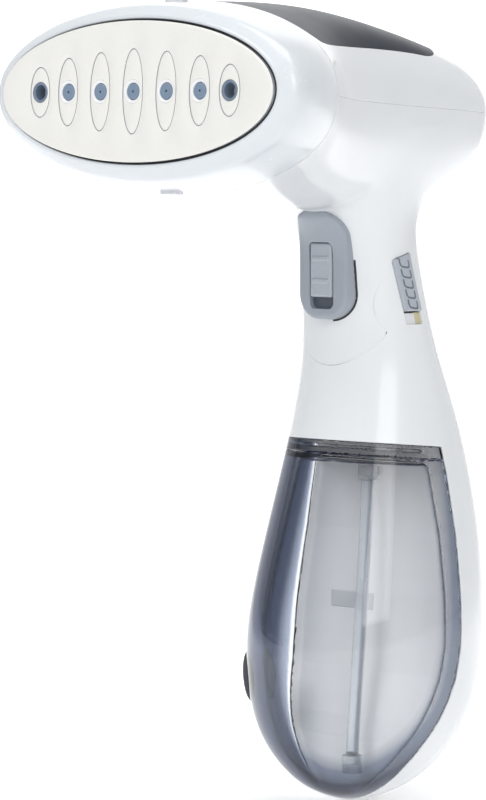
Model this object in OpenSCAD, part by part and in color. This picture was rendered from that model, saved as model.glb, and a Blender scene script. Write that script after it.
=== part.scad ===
// Handheld garment steamer with a drop-in water tank under the grip.
// Millimetres. +Z is up, -Y is the way the steam plate faces, and the
// origin is the middle of the grip, where the hand closes on it.

/* [Head] */
// Height of the head's axis over the grip centre
head_z = 82; // [80:0.5:84]
// Upward tilt of the steam plate, degrees
head_pitch = 2.3; // [1.5:0.1:3]
// Wall thickness of the moulded shells
wall = 2.4; // [2:0.1:2.8]
// Gap between neighbouring shells
seam_gap = 0.3; // [0.2:0.1:0.5]

/* [Steam plate] */
// Half width of the oval steam plate
plate_a = 63.8; // [62:0.1:64]
// Half height of the oval steam plate
plate_b = 24.3; // [23:0.1:24.5]
// Distance between steam nozzles
nozzle_pitch = 15.6; // [15:0.1:15.8]
// Diameter of a nozzle insert
nozzle_d = 5.8; // [5:0.1:6.5]
// Bore of the accessory sockets at both ends of the row
socket_bore = 5; // [4:0.1:5.2]

/* [Controls] */
// Travel of the steam switch
switch_travel = 4; // [2:0.5:4]
// Travel of the tank release slider
release_travel = 5; // [3:0.5:5]

/* [Tank] */
// Thickness of the clear tank's curved wall
tank_wall = 3.8; // [3:0.1:4.4]
// Depth of the clear lid that closes the tank
lid_depth = 5; // [4:0.5:6]
// Diameter of the filling plug's flange
plug_d = 20; // [18:0.5:22]

/* [Hidden] */
$fn = 48;
ring_points = 32;
big = 400;

white = [0.93, 0.94, 0.95];
grey = [0.68, 0.71, 0.75];
smoke = [0.35, 0.38, 0.44, 0.6];
steel = [0.72, 0.73, 0.74];
brass = [0.78, 0.65, 0.35];
rubber = [0.25, 0.27, 0.3];

// Head stations along its own axis: place, half width, height above the
// parting line, depth below it, roundness of the section
head_rows = [
    [-124, 65, 25.8, 25.8, 2], [-121, 70, 29.4, 30, 2], [-115, 71, 31, 32, 2],
    [-103, 68.2, 32.2, 34, 2], [-88, 60.6, 33.3, 35.8, 2.05], [-71, 50, 34.2, 37.3, 2.15],
    [-45, 39.5, 34, 38.2, 2.2], [-15, 33.8, 31, 37.2, 2.2], [14, 30.5, 26, 34, 2.2],
    [36, 25.3, 20.2, 28, 2.2], [49, 17, 12.3, 18.2, 2.1], [54.5, 8.5, 6, 8.6, 2],
    [56, 0, 0, 0, 2]
];
// Handle stations from the neck down: height, centre, half depth, half width
grip_rows = [
    [56, -6, 38, 31], [47, -6.6, 27.6, 26.8], [40, -6.8, 21.2, 24], [30, -5, 19.4, 23.3],
    [12, -1.8, 20.4, 24.35], [-8, 1.7, 23.2, 26.5], [-26, 4.1, 28.4, 29.5],
    [-48, 4.9, 35, 33.6], [-75, 3.5, 41.4, 38.5], [-100, 1.3, 45.8, 42],
    [-118, -0.2, 46.6, 42.6], [-136, -1.8, 44.2, 40.2], [-151, -3.5, 38.7, 33.7],
    [-163, -4.6, 29.1, 23.9], [-170.5, -5.2, 17, 13], [-174, -5.5, 0, 0]
];
seam_top = -97;
seam_sweep = 11.5;
seam_half = 61;
socket_x = 44.8;
nozzle_x = [
    -socket_x, -2 * nozzle_pitch, -nozzle_pitch, 0, nozzle_pitch, 2 * nozzle_pitch, socket_x
];
plate_front = -125.4;
plate_back = -118;
tank_back = 2.6;
tank_tilt = 5.4;
tank_top = -40.9;
outlet_at = [2, -1.6, -52];
panel_face = -26.2;
slot_z = 9;
slot_height = 24.2;
slide_dir = [0.08, 0.25, -1] / norm([0.08, 0.25, -1]);
plug_at = [-35.6, -24.4, -129.5];
plug_turn = 207.3;
plug_sink = -6;
gland_at = [0, 35, -151];
gland_tilt = 35.6;

// ---- shared shapes ----

// Point on a smooth curve through rows b and c
function between(a, b, c, d, t) = 0.5 * (2 * b + (c - a) * t
    + (2 * a - 5 * b + 4 * c - d) * t * t + (3 * b - a - 3 * c + d) * t * t * t);
// Rows with one more row put between each pair
function denser(rows) = let (n = len(rows) - 1) [
    for (i = [0 : n - 1]) let (
        a = i > 0 ? rows[i - 1] : 2 * rows[0] - rows[1],
        d = i + 2 > n ? 2 * rows[n] - rows[n - 1] : rows[i + 2])
        for (t = [0, 0.5]) between(a, rows[i], rows[i + 1], d, t),
    rows[n]
];
function signed_power(v, e) = sign(v) * pow(abs(v), e);
// The ends of a form move in by the same step as its sides
function squeezed(v, first, last, step) =
    first + sign(last - first) * step
        + (v - first) * (abs(last - first) - 2 * step) / abs(last - first);

// One closed skin over a list of rings with equal numbers of points
module skin(rings) {
    n = len(rings[0]);
    m = len(rings);
    flat = [for (ring = rings) for (p = ring) p];
    polyhedron(flat, concat(
        [[for (j = [0 : n - 1]) j]],
        [for (i = [0 : m - 2]) for (j = [0 : n - 1]) let (k = (j + 1) % n)
            [i * n + j, (i + 1) * n + j, (i + 1) * n + k, i * n + k]],
        [[for (j = [n - 1 : -1 : 0]) (m - 1) * n + j]]));
}
// Head outline solid, made larger by grow
module head_form(grow = 0) {
    rows = denser(head_rows);
    last = len(rows) - 1;
    in_head() skin([for (i = [0 : last]) let (r = rows[i],
        v = squeezed(r[0], rows[0][0], rows[last][0], -grow),
        a = max(r[1] + grow, 0.2 + max(grow, 0)),
        top = max(r[2] + grow, 0.2 + max(grow, 0)),
        low = max(r[3] + grow, 0.2 + max(grow, 0)))
        [for (j = [0 : ring_points - 1]) let (s = -360 * j / ring_points,
            w = signed_power(sin(s), 2 / r[4]))
            [a * signed_power(cos(s), 2 / r[4]), v, w > 0 ? top * w : low * w]]]);
}
// Handle outline solid, made larger by grow
module grip_form(grow = 0) {
    rows = denser(grip_rows);
    last = len(rows) - 1;
    skin([for (i = [0 : last]) let (r = rows[i],
        z = i == 0 ? r[0] : squeezed(r[0], rows[0][0], rows[last][0], -grow),
        d = max(r[2] + grow, 0.2 + max(grow, 0)), w = max(r[3] + grow, 0.2 + max(grow, 0)))
        [for (j = [0 : ring_points - 1]) let (s = -360 * j / ring_points)
            [w * cos(s), r[1] + d * sin(s), z]]]);
}
// The head's own frame: its axis, tilted so the plate looks slightly up
module in_head() { translate([0, 0, head_z]) rotate([-head_pitch, 0, 0]) children(); }
// A side-view outline (along Y, up Z) made into a block across the object
module across(width = big) {
    rotate([90, 0, 90]) linear_extrude(width, center = true) children();
}
// Many-faced shells are settled as one skin
module as_skin() { resize([0, 0, 0]) children(); }
// An oval plate in the head's frame, from v0 to v1 along its axis
module oval(a, b, v0, v1, points = 64) {
    in_head() translate([0, v1, 0]) rotate([90, 0, 0]) linear_extrude(v1 - v0)
        polygon([for (i = [0 : points - 1]) let (s = 360 * i / points) [a * cos(s), b * sin(s)]]);
}
// A cylinder along the head's axis
module head_pin(x, w, v0, v1, d) {
    in_head() translate([x, v1, w]) rotate([90, 0, 0]) cylinder(v1 - v0, d = d);
}
// A round solid rod swept along points
module swept(points, d, sides = 8) {
    n = len(points);
    skin([for (i = [0 : n - 1]) let (
        along = points[min(i + 1, n - 1)] - points[max(i - 1, 0)],
        t = along / norm(along),
        u0 = cross(t, abs(t[0]) < 0.8 ? [1, 0, 0] : [0, 1, 0]),
        u = u0 / norm(u0), v = cross(t, u))
        [for (j = [0 : sides - 1]) let (s = 360 * j / sides)
            points[i] + d / 2 * (cos(s) * u + sin(s) * v)]]);
}
// Smooth route through a few points
function route(points, steps) = let (n = len(points) - 1) [
    for (i = [0 : n - 1]) let (
        a = i > 0 ? points[i - 1] : 2 * points[0] - points[1],
        d = i + 2 > n ? 2 * points[n] - points[n - 1] : points[i + 2])
        for (k = [0 : steps - 1]) between(a, points[i], points[i + 1], d, k / steps),
    points[n]
];
// A pan-head screw, head up, shank down, with a cross slot
module screw(head_d, shank_d, length) {
    difference() {
        union() {
            cylinder(2, d = head_d);
            translate([0, 0, -length]) cylinder(length, d = shank_d);
        }
        for (turn = [0, 90]) rotate([0, 0, turn])
            translate([-head_d / 3, -0.4, 1.2]) cube([head_d / 1.5, 0.8, 1]);
    }
}

// ---- boundaries between the shells ----

// Everything the handle shell owns: under the wavy seam, with a round
// lobe on each side that carries the release slider
module handle_side(gap = 0) {
    across() offset(delta = gap) union() {
        polygon([[-60, -14], [-22.2, -12.4], [-12.5, 0.3], [0.9, 4], [0.9, 28.8],
            [60, 28.8], [60, -300], [-60, -300]]);
        translate([0.9, 11.4]) circle(17.4, $fn = 40);
    }
}
// Everything the tank owns: in front of the spine and under the grip
module tank_side(gap = 0) {
    across() offset(delta = gap) polygon([
        [-70, tank_top + 70 * tan(tank_tilt)], [4, tank_top - 4 * tan(tank_tilt)],
        [5.4, -52], [6, -75], [5, -97], [3.7, -115], [1.8, -126], [-1, -134], [-4, -142],
        [-7.5, -150], [-10.5, -160], [-12, -168], [-12, -180], [-70, -180]]);
}
// Everything behind the bezel's seam, which bows back at both ends
module behind_bezel(gap = 0) {
    in_head() translate([0, 0, -60]) linear_extrude(120) polygon(concat(
        [for (x = [-72 : 8 : 72]) [x, seam_top + gap
            + seam_sweep * pow(min(abs(x), seam_half + 2) / seam_half, 4)]],
        [[72, 80], [-72, 80]]));
}
// Everything the dark panel over the head covers, by its side outline
module under_panel(gap = 0) {
    in_head() across() offset(delta = gap) polygon([[-110, 60], [-95.5, 34], [-93.5, 27],
        [-91, 22.5], [-87, 19.4], [-81, 17.9], [-55, 18.7], [-30, 19.5], [-8, 19.5],
        [8, 18.7], [18, 23], [24, 40], [24, 60]]);
}
// Outline of the switch panel, seen from the front
module switch_outline(gap = 0) {
    offset(r = 9.5 + gap, $fn = 32) polygon([[-2, 14.5], [2, 14.5], [2, 35.5], [-2, 35.5]]);
}
// Outline of the release slider, seen from the side
module slider_outline() { polygon([[-11.9, 27], [-4.2, 29.4], [1.5, 8], [-7.2, 8]]); }
// Opening on the right side that the slider fills at both ends of its travel
module slider_pocket() {
    intersection() {
        across() offset(delta = 0.3) hull() {
            slider_outline();
            translate([slide_dir[1], slide_dir[2]] * release_travel) slider_outline();
        }
        translate([0, -big / 2, -big / 2]) cube(big);
    }
}

// ---- head ----

module front_bezel() {
    color(white) as_skin() difference() {
        head_form();
        head_form(-wall);
        behind_bezel(-seam_gap / 2);
        oval(plate_a + 1.3, plate_b + 1.3, -130, -112, 48);
        brush_catch_blocks(0.1);
    }
}
module head_top_shell() {
    color(white) as_skin() difference() {
        intersection() {
            head_form();
            behind_bezel(seam_gap / 2);
        }
        head_form(-wall);
        in_head() translate([-big / 2, -big / 2, seam_gap / 2 - big]) cube(big);
        difference() {
            under_panel(0.2);
            head_form(-1.4);
        }
    }
}
module top_panel() {
    color([0.25, 0.28, 0.33]) as_skin() intersection() {
        difference() {
            head_form(0.1);
            head_form(-1.3);
        }
        under_panel();
        behind_bezel(seam_gap);
    }
}
// Lower half of the head and the neck in one moulding
module neck_housing() {
    color(white) as_skin() difference() {
        union() {
            head_form();
            grip_form();
        }
        head_form(-wall);
        difference() {
            grip_form(-wall);
            translate([-big / 2, -big / 2, 54]) cube(big);
        }
        difference() {
            translate([0, -120, 82]) cube([200, 200, 120], center = true);
            behind_bezel(seam_gap / 2);
        }
        in_head() translate([-big / 2, -big / 2, -seam_gap / 2]) cube(big);
        handle_side(seam_gap);
        slider_pocket();
        translate([-6.3, -45, 6]) cube([12.6, 28, 28]);
    }
}

// ---- steam plate and nozzles ----

module steam_plate() {
    color([0.93, 0.92, 0.89]) difference() {
        oval(plate_a, plate_b, plate_front, plate_back);
        for (i = [1 : 5]) head_pin(nozzle_x[i], 0, -127, -117, nozzle_d);
        for (x = [nozzle_x[0], nozzle_x[6]]) head_pin(x, 0, -127, -117, 7.4);
    }
}
// Dark lip that seals the plate to the bezel
module plate_gasket() {
    color(rubber) difference() {
        oval(plate_a + 1.2, plate_b + 1.2, -123.4, plate_back);
        oval(plate_a, plate_b, -125, -117);
    }
}
module nozzle_inserts() {
    color([0.55, 0.61, 0.69]) for (i = [1 : 5]) difference() {
        head_pin(nozzle_x[i], 0, -125.6, -116.4, nozzle_d);
        head_pin(nozzle_x[i], 0, -127, -116, 1);
    }
}
module accessory_socket(x) {
    color([0.4, 0.46, 0.55]) difference() {
        head_pin(x, 0, -126, -116.4, 7.4);
        head_pin(x, 0, -127, -117.3, socket_bore);
    }
}
module brush_catch_blocks(gap = 0) {
    in_head() for (side = [1, -1])
        translate([0, -104, side * (side > 0 ? 31.2 : 32.8)])
            cube([8 + 2 * gap, 3.4 + 2 * gap, 3.8], center = true);
}
// Clear hooks over and under the bezel that hold the fabric brush
module brush_catches() { color([0.9, 0.92, 0.94, 0.7]) brush_catch_blocks(); }

// ---- boiler ----

module boiler_block(a, b, v0, v1) { oval(a, b, v0, v1, 40); }
module heater_path(d) {
    in_head() translate([0, -86, 0]) {
        for (side = [1, -1]) translate([side * 12, 0, 0]) rotate([-90, 0, 0]) cylinder(34, d = d);
        rotate([0, 0, 180]) rotate_extrude(angle = 180) translate([12, 0]) circle(d = d);
    }
}
module boiler_body() {
    color(steel) difference() {
        boiler_block(46, 20, -109, -66);
        for (side = [1, -1]) in_head() translate([side * 30, -80, 0]) rotate([90, 0, 0])
            cylinder(26, d = 14);
        heater_path(7);
        for (x = [-38, 38]) head_pin(x, 0, -72, -65, 2.6);
    }
}
module boiler_gasket() {
    color([0.75, 0.3, 0.22]) difference() {
        boiler_block(46, 20, -110, -109);
        boiler_block(40, 14, -111, -108);
    }
}
module boiler_cover() {
    color(steel) difference() {
        boiler_block(46, 20, -113, -110);
        for (i = [1 : 5]) head_pin(nozzle_x[i], 0, -114, -109, 3);
    }
}
module heating_element() { color([0.5, 0.47, 0.42]) heater_path(6.4); }
// Carries the steam from the boiler to the nozzles
module steam_manifold() {
    color([0.3, 0.32, 0.35]) difference() {
        boiler_block(50, 12, -116.4, -113);
        boiler_block(44, 4, -117, -114.2);
        for (i = [1 : 5]) head_pin(nozzle_x[i], 0, -118, -112, 3);
    }
}
module thermostat() {
    color([0.2, 0.2, 0.22]) in_head() translate([0, -66, 8]) rotate([-90, 0, 0]) {
        cylinder(6, d = 15);
        translate([0, 0, 6]) cylinder(3, d = 10);
        for (side = [1, -1]) translate([side * 4.5 - 0.4, -2, 9]) cube([0.8, 4, 7]);
    }
}
module thermal_fuse() {
    color(brass) in_head() translate([16, -66, 12]) {
        translate([0, 2.2, 0]) rotate([0, 90, 0]) cylinder(14, d = 4.4);
        for (x = [-7, 14]) translate([x, 2.2, 0]) rotate([0, 90, 0]) cylinder(7, d = 1.2);
    }
}
// Stands the boiler on the lower shell
module boiler_bracket() {
    color(steel) in_head() for (side = [1, -1]) {
        translate([side * 30 - 4, -66, -14]) cube([8, 1.6, 20]);
        translate([side * 30 - 4, -66, -15.6]) cube([8, 20, 1.6]);
    }
}
module boiler_screws() {
    color(brass) in_head() for (x = [-38, 38]) translate([x, -66, 0]) rotate([-90, 0, 0])
        screw(5, 2.6, 5);
}

// ---- controls ----

module switch_panel() {
    color(grey) as_skin() difference() {
        intersection() {
            union() {
                grip_form(2.2);
                translate([-20, panel_face, 0]) cube([40, 15, 40]);
            }
            translate([0, -12, 0]) rotate([90, 0, 0]) linear_extrude(60) switch_outline();
        }
        grip_form(0.1);
        head_form(0.1);
        translate([-5.6, -45, slot_z]) cube([11.2, 40, slot_height]);
    }
}
// The switch rests at the top of its slot
module switch_place() { translate([0, 0, slot_z + 0.2 + switch_travel]) children(); }
// Thumb switch, shorter than its slot by its travel and a little play
module switch_button() {
    color(grey) switch_place() translate([0, panel_face, 0]) {
        translate([-5.3, 0, 0]) cube([10.6, 4, slot_height - 0.4 - switch_travel]);
        for (z = [5, 13.2]) translate([-4, -0.5, z]) cube([8, 0.5, 1.6]);
    }
}
module switch_slide() {
    color([0.3, 0.32, 0.35]) switch_place() {
        translate([-4, panel_face + 4, 1]) cube([8, 5.4, 17]);
        translate([-8.5, panel_face + 9.4, -1]) cube([17, 1.6, 21]);
    }
}
// Holds the micro switch and the top of the latch spring
module inner_frame() {
    color([0.8, 0.8, 0.8]) difference() {
        union() {
            translate([-7.6, -5, 12]) cube([15.2, 1.6, 24]);
            translate([7, -7, 30.8]) cube([7.4, 6, 1.6]);
        }
        translate([-1.4, -6, 13]) cube([2.8, 4, 19]);
    }
}
module micro_switch() {
    color([0.12, 0.12, 0.13]) translate([-6, -13, 14]) {
        cube([12, 8, 20]);
        translate([4, -1.6, 12]) cube([4, 1.6, 2.4]);
        for (z = [4, 10, 16]) translate([5, 8, z]) cube([2, 4, 0.8]);
    }
}
// Ribbed thumb slider on the right side that frees the tank
module release_slider() {
    color(grey) as_skin() difference() {
        union() {
            intersection() {
                grip_form(0.9);
                across() slider_outline();
            }
            intersection() {
                grip_form(1.7);
                for (i = [0 : 4]) translate([0, 1.05 * i - 9.6, 24.6 - 3.7 * i])
                    cube([40, 5.4, 1.3]);
            }
        }
        grip_form(-3.2);
        translate([-big, -big / 2, -big / 2]) cube(big);
    }
}
module latch_arm() {
    color([0.3, 0.32, 0.35]) {
        translate([8, -6, 12]) cube([13.2, 4, 5]);
        translate([8, -6, -24]) cube([3, 4, 36]);
    }
}
module latch_spring() {
    turns = 6;
    color(steel) as_skin() swept([for (i = [0 : turns * 8])
        [11.7 + 2 * cos(45 * i), -4 + 2 * sin(45 * i), 18.2 + i * 12 / (turns * 8)]], 0.7, 6);
}
// Coloured strip in the floor of the slider's track
module slider_strip() {
    color([0.8, 0.75, 0.55]) translate([18.8, -4.6, 2.2]) cube([1, 6.6, 4.3]);
}

// ---- handle shell ----

module handle_shell() {
    color(white) as_skin() difference() {
        intersection() {
            grip_form();
            handle_side(0);
        }
        difference() {
            grip_form(-wall);
            tank_side(wall);
        }
        tank_side(0);
        slider_pocket();
        translate(outlet_at) rotate([-90, 0, 0]) cylinder(20, d = 10.2, $fn = 32);
        gland_place() translate([0, 0, -20]) cylinder(40, d = 12.2, $fn = 32);
    }
}

// ---- water tank ----

module tank_block() {
    intersection() {
        grip_form();
        tank_side(-0.4);
    }
}
module tank_cavity() {
    intersection() {
        grip_form(-tank_wall);
        tank_side(-0.4 - tank_back);
    }
}
// A slab under the tilted top of the tank, from depth a to depth b
module tank_slab(a, b) {
    translate([0, 0, tank_top]) rotate([-tank_tilt, 0, 0])
        translate([-big / 2, -big / 2, -b]) cube([big, big, b - a]);
}
module plug_place() {
    translate(plug_at) rotate([0, 0, plug_turn]) rotate([0, 90 - plug_sink, 0]) children();
}
module water_tank() {
    color(smoke) as_skin() difference() {
        intersection() {
            tank_block();
            tank_slab(lid_depth + 0.1, 200);
        }
        tank_cavity();
        plug_place() translate([0, 0, -1.8]) cylinder(20, d = plug_d + 0.6, $fn = 32);
        plug_place() translate([0, 0, -12]) cylinder(20, d = 14.6, $fn = 32);
        translate(outlet_at) rotate([-90, 0, 0]) cylinder(20, d = 5.6, $fn = 24);
    }
}
module tank_lid() {
    color(smoke) as_skin() difference() {
        intersection() {
            tank_block();
            tank_slab(0.4, lid_depth);
        }
        intersection() {
            tank_cavity();
            tank_slab(3, 20);
        }
    }
}
module siphon_tube() {
    color([0.8, 0.83, 0.86, 0.7]) swept(route([[2, -1.6, -55.4], [1.6, -2.6, -78], [1.7, -5, -104],
        [3.2, -9.4, -130], [8, -17.5, -153.5]], 4), 4.6, 10);
}
module siphon_filter() {
    color(steel) translate([8, -17.5, -160.2]) difference() {
        cylinder(6, d = 7);
        translate([0, 0, -1]) cylinder(4, d = 5);
    }
}
// Elbow on the tank's back wall, with the spigot that plugs into the spine
module tank_outlet() {
    color([0.8, 0.83, 0.86]) difference() {
        union() {
            translate(outlet_at - [0, 0, 3.4]) cylinder(7.4, d = 7);
            translate(outlet_at) rotate([-90, 0, 0]) cylinder(13, d = 5);
        }
        translate(outlet_at) rotate([-90, 0, 0]) cylinder(20, d = 2.4);
    }
}
module fill_plug() {
    color([0.55, 0.58, 0.62]) plug_place() difference() {
        union() {
            translate([0, 0, -1.6]) cylinder(2.2, d = plug_d);
            translate([0, 0, -6]) cylinder(5, d = 14);
        }
        translate([-5, -1, -0.2]) cube([10, 2, 2]);
    }
}
// The socket's own frame: its mouth faces the tank, its axis points back
module outlet_place() {
    translate([outlet_at[0], 5.8, outlet_at[2]]) rotate([-90, 0, 0]) children();
}
module tank_socket() {
    color([0.3, 0.32, 0.35]) outlet_place() difference() {
        union() {
            cylinder(9, d = 10);
            translate([0, 0, 2.5]) cylinder(1.8, d = 15);
            cylinder(15, d = 4);
        }
        translate([0, 0, -1]) cylinder(8.6, d = 5.8);
        translate([0, 0, 1.4]) cylinder(2.2, d = 8);
        cylinder(20, d = 2.4);
    }
}
module socket_seal() {
    color([0.1, 0.1, 0.1]) outlet_place() translate([0, 0, 2.5])
        rotate_extrude() translate([3.4, 0]) circle(d = 1.2);
}

// ---- pump and hoses ----

pump_at = [-4, 6, -36];
module pump_barrel() {
    color([0.85, 0.86, 0.87]) translate(pump_at) difference() {
        union() {
            cylinder(30, d = 9);
            translate([0, 0, 1.2]) rotate([-90, 0, 0]) cylinder(8.4, d = 4);
            translate([0, 0, 30]) cylinder(5, d = 4);
        }
        translate([0, 0, 3]) cylinder(24, d = 6);
        translate([0, 0, 1.2]) cylinder(35, d = 2);
        translate([0, 0, 1.2]) rotate([-90, 0, 0]) cylinder(9, d = 2);
    }
}
module pump_coil() {
    color([0.7, 0.4, 0.2]) translate(pump_at) translate([0, 0, 5]) difference() {
        union() {
            cylinder(18, d = 17);
            for (z = [0, 16.6]) translate([0, 0, z]) cylinder(1.4, d = 20);
        }
        translate([0, 0, -1]) cylinder(20, d = 9.2);
    }
}
module pump_frame() {
    color(steel) translate(pump_at) difference() {
        translate([-11.6, -8, 3.4]) cube([23.2, 16, 21.2]);
        translate([-10.2, -9, 5]) cube([20.4, 18, 18]);
        translate([0, 0, -1]) cylinder(40, d = 9.2);
    }
}
module pump_piston() {
    color(steel) translate(pump_at) translate([0, 0, 9]) cylinder(12, d = 5.2);
}
module inlet_hose() {
    color([0.85, 0.86, 0.87]) difference() {
        swept(route([[2, 15.4, -52], [2, 22, -52], [-0.5, 26.6, -46],
            [-3, 25, -38.6], [-4, 20, -34.8], [-4, 14.5, -34.8]], 3), 5, 8);
        outlet_place() translate([0, 0, 9]) cylinder(6.4, d = 4.1);
    }
}
module outlet_hose() {
    color([0.85, 0.86, 0.87]) swept(route([[-4, 6, -0.6], [-4, 6.6, 12], [-1, 5.4, 38],
        [0, -8, 64], [0, -40, 76], [0, -63.4, 82]], 3), 5, 8);
}

// ---- electrics ----

module circuit_board() {
    color([0.1, 0.35, 0.2]) in_head() difference() {
        translate([-18, -30, -2]) cube([36, 50, 1.6]);
        for (x = [-14, 14], y = [-26, 16]) translate([x, y, -3]) cylinder(4, d = 3);
    }
}
module board_parts() {
    color([0.15, 0.15, 0.16]) in_head() {
        translate([-13, -20, -0.4]) cube([12, 15, 11]);
        translate([5, -16, -0.4]) cylinder(11, d = 8);
        translate([-10, 4, -0.4]) cube([8, 6, 3]);
        translate([4, 4, -0.4]) cube([9, 4, 14]);
    }
}
module terminal_block() {
    color([0.9, 0.9, 0.88]) translate([-11, 17, -118]) difference() {
        cube([22, 12, 14]);
        for (x = [5.5, 16.5]) translate([x, 6, -1]) cylinder(16, d = 3.4);
        for (x = [5.5, 16.5]) translate([x, 13, 7]) rotate([90, 0, 0]) cylinder(5, d = 2.4);
    }
}
module mains_wires() {
    color([0.3, 0.2, 0.15]) for (side = [1, -1])
        swept(route([[side * 5.5, 23, -104], [side * 12, 27, -75], [side * 14, 24, -45],
            [side * 13, 16, -10], [side * 12, 10, 12], [side * 10, 5.6, 32], [side * 9, 8, 54],
            [side * 8, 12, 78.6]], 3), 2.6, 6);
}
module gland_place() {
    translate(gland_at) rotate([0, 0, 90]) rotate([0, 90 + gland_tilt, 0]) children();
}
// Mouth for the mains lead, flush with the back of the spine
module cord_gland() {
    color([0.35, 0.37, 0.4]) gland_place() difference() {
        union() {
            translate([0, 0, -9]) cylinder(10, d = 12);
            translate([0, 0, 1]) cylinder(1.4, d = 16);
        }
        translate([0, 0, -10]) cylinder(14, d = 7);
    }
}
module cord_clamp() {
    color([0.25, 0.26, 0.28]) translate([0, 18, -134]) difference() {
        translate([-11, -3, -4]) cube([22, 6, 8]);
        translate([0, 0, -5]) cylinder(10, d = 7);
        for (x = [-8, 8]) translate([x, 4, 0]) rotate([90, 0, 0]) cylinder(8, d = 2.6);
    }
}
module case_screws() {
    color(steel) {
        for (x = [-14, 14], y = [-26, 16]) in_head() translate([x, y, -0.4]) screw(5, 2.8, 6);
        for (x = [-8, 8]) translate([x, 21, -134]) rotate([-90, 0, 0]) screw(4.6, 2.4, 5);
    }
}

front_bezel();
head_top_shell();
top_panel();
neck_housing();
handle_shell();
steam_plate();
plate_gasket();
nozzle_inserts();
accessory_socket(nozzle_x[0]);  // accessory_socket_left
accessory_socket(nozzle_x[6]);  // accessory_socket_right
brush_catches();
boiler_body();
boiler_gasket();
boiler_cover();
heating_element();
steam_manifold();
thermostat();
thermal_fuse();
boiler_bracket();
boiler_screws();
switch_panel();
switch_button();
switch_slide();
micro_switch();
inner_frame();
release_slider();
latch_arm();
latch_spring();
slider_strip();
water_tank();
tank_lid();
siphon_tube();
siphon_filter();
tank_outlet();
fill_plug();
tank_socket();
socket_seal();
inlet_hose();
outlet_hose();
pump_barrel();
pump_coil();
pump_frame();
pump_piston();
circuit_board();
board_parts();
terminal_block();
mains_wires();
cord_gland();
cord_clamp();
case_screws();
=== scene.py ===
import math

import bmesh
import bpy
import numpy as np
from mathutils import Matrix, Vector
from mathutils.geometry import delaunay_2d_cdt


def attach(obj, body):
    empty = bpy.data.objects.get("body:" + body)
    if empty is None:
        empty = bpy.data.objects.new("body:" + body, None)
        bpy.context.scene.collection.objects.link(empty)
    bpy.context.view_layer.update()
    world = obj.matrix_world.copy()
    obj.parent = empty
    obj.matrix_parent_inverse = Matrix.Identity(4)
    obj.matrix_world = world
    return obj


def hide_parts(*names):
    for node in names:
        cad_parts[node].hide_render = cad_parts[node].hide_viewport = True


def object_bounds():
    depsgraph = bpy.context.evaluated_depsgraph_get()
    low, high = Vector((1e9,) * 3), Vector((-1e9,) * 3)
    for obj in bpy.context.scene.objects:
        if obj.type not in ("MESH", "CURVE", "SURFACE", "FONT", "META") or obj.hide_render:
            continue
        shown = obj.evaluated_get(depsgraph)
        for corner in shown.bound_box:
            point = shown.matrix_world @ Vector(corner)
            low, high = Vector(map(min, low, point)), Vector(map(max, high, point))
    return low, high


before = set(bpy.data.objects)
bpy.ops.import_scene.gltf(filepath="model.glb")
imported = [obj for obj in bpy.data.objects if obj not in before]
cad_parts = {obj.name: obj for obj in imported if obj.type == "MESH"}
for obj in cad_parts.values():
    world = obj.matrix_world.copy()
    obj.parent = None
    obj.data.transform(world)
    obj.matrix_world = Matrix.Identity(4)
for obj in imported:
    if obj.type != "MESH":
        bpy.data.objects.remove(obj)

cad_low, cad_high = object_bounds()
MM = 0.001

# Everything below is worked out in millimetres, in the frame's own axes:
# +Z up, -Y the way the steam plate faces, the origin in the grip.

# ---- driving sizes, the same as the frame's ----

# head and plate
HEAD_Z = 82
HEAD_PITCH = math.radians(2.3)
WALL = 2.2
PLATE_A, PLATE_B = 63.8, 24.3
PLATE_FRONT, PLATE_BACK = -125.4, -119
NOZZLE_X = [-44.8, -31.1, -15.6, 0, 15.6, 31.1, 44.8]
SEAM_TOP, SEAM_SWEEP, SEAM_HALF = -97, 11.5, 61
# tank
TANK_TOP, TANK_TILT = -40.9, math.radians(5.4)
TANK_WALL, BACK_WALL = 5.6, 2.6
LID_DEPTH = 5
OUTLET = np.array([2, -1.6, -52])
# switch panel
PANEL_FACE = -26.2
SLOT_Z, SLOT_HEIGHT, SWITCH_TRAVEL = 9, 24.2, 4
# filling plug: its middle, and the two turns that aim it
PLUG_AT = np.array([-35.6, -24.4, -129.5])
PLUG_TURN, PLUG_SINK = math.radians(207.3), math.radians(6)

# Head stations: place along the axis, half width, height over the parting
# line, depth under it, roundness. The last row mirrors the one before the tip.
HEAD_ROWS = [
    (-124, 65, 25.8, 25.8, 2), (-121, 70, 29.4, 30, 2), (-115, 71, 31, 32, 2),
    (-103, 68.2, 32.2, 34, 2), (-88, 60.6, 33.3, 35.8, 2.05), (-71, 50, 34.2, 37.3, 2.15),
    (-45, 39.5, 34, 38.2, 2.2), (-15, 33.8, 31, 37.2, 2.2), (14, 30.5, 26, 34, 2.2),
    (36, 25.3, 20.2, 28, 2.2), (49, 17, 12.3, 18.2, 2.1), (54.5, 8.5, 6, 8.6, 2),
    (56, 0, 0, 0, 2), (54.5, -8.5, -6, -8.6, 2),
]
# Handle stations: height, centre along Y, half depth, half width
GRIP_ROWS = [
    (66, -9, 21.4, 24.6), (50, -8, 20.6, 23.8), (40, -6.8, 20, 23.3), (30, -5, 19.4, 23.3),
    (12, -1.8, 20.4, 24.35), (-8, 1.7, 23.2, 26.5), (-26, 4.1, 28.4, 29.5),
    (-48, 4.9, 35, 33.6), (-75, 3.5, 41.4, 38.5), (-100, 1.3, 45.8, 42),
    (-118, -0.2, 46.6, 42.6), (-136, -1.8, 44.2, 40.2), (-151, -3.5, 38.7, 33.7),
    (-163, -4.6, 29.1, 23.9), (-170.5, -5.2, 17, 13), (-174, -5.5, 0, 0),
    (-170.5, -5.2, -17, -13),
]


# ---- curves through stations ----

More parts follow.
